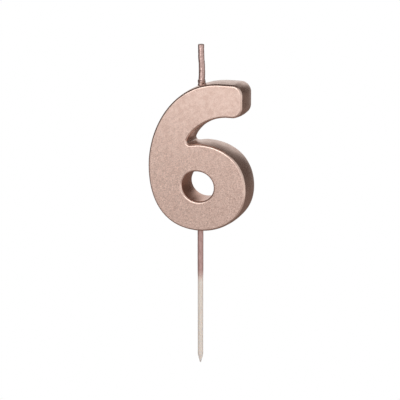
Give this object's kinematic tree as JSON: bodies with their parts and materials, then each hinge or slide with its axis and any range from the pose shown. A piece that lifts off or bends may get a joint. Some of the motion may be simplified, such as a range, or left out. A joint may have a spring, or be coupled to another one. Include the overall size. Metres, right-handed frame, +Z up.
{
  "type": "number birthday candle",
  "caption": "Metallic-lacquered wax number candle shaped as a rounded six, with a coated wick on top and a pointed pick below that pushes into a cake.",
  "frame": {"origin": "on the pick's axis where the cake's surface comes, at the lower end of the lacquer on the pick", "axes": "+Z up along the pick, +X to the right along the numeral, and the numeral's front faces -Y"},
  "size_m": [0.0488, 0.014, 0.1549],
  "materials": {
    "wax": "satin paraffin wax",
    "metallic_lacquer": "rose-gold metallic lacquer with a fine flake",
    "cotton": "waxed twisted cotton",
    "pick_plastic": "satin cream plastic"
  },
  "bodies": {
    "pick": {"pick": "pick_plastic", "pick_coat": "metallic_lacquer"},
    "numeral": {"wax_body": "wax", "lacquer_coat": "metallic_lacquer", "wick_core": "cotton", "wick_collar": "metallic_lacquer"},
    "wick_stub": {"wick_ply_1": "cotton", "wick_ply_2": "cotton", "wick_ply_3": "cotton", "wick_coat": "metallic_lacquer"}
  },
  "joints": [
    {"name": "pick_pull", "type": "slide", "parent": "pick", "child": "numeral", "axis": [0, 0, 1], "range_m": [0, 0.012]},
    {"name": "wick_bend", "type": "hinge", "parent": "numeral", "child": "wick_stub", "pos_m": [0.0006, 0, 0.09487], "axis": [0, 1, 0], "range_deg": [-45, 45]}
  ]
}
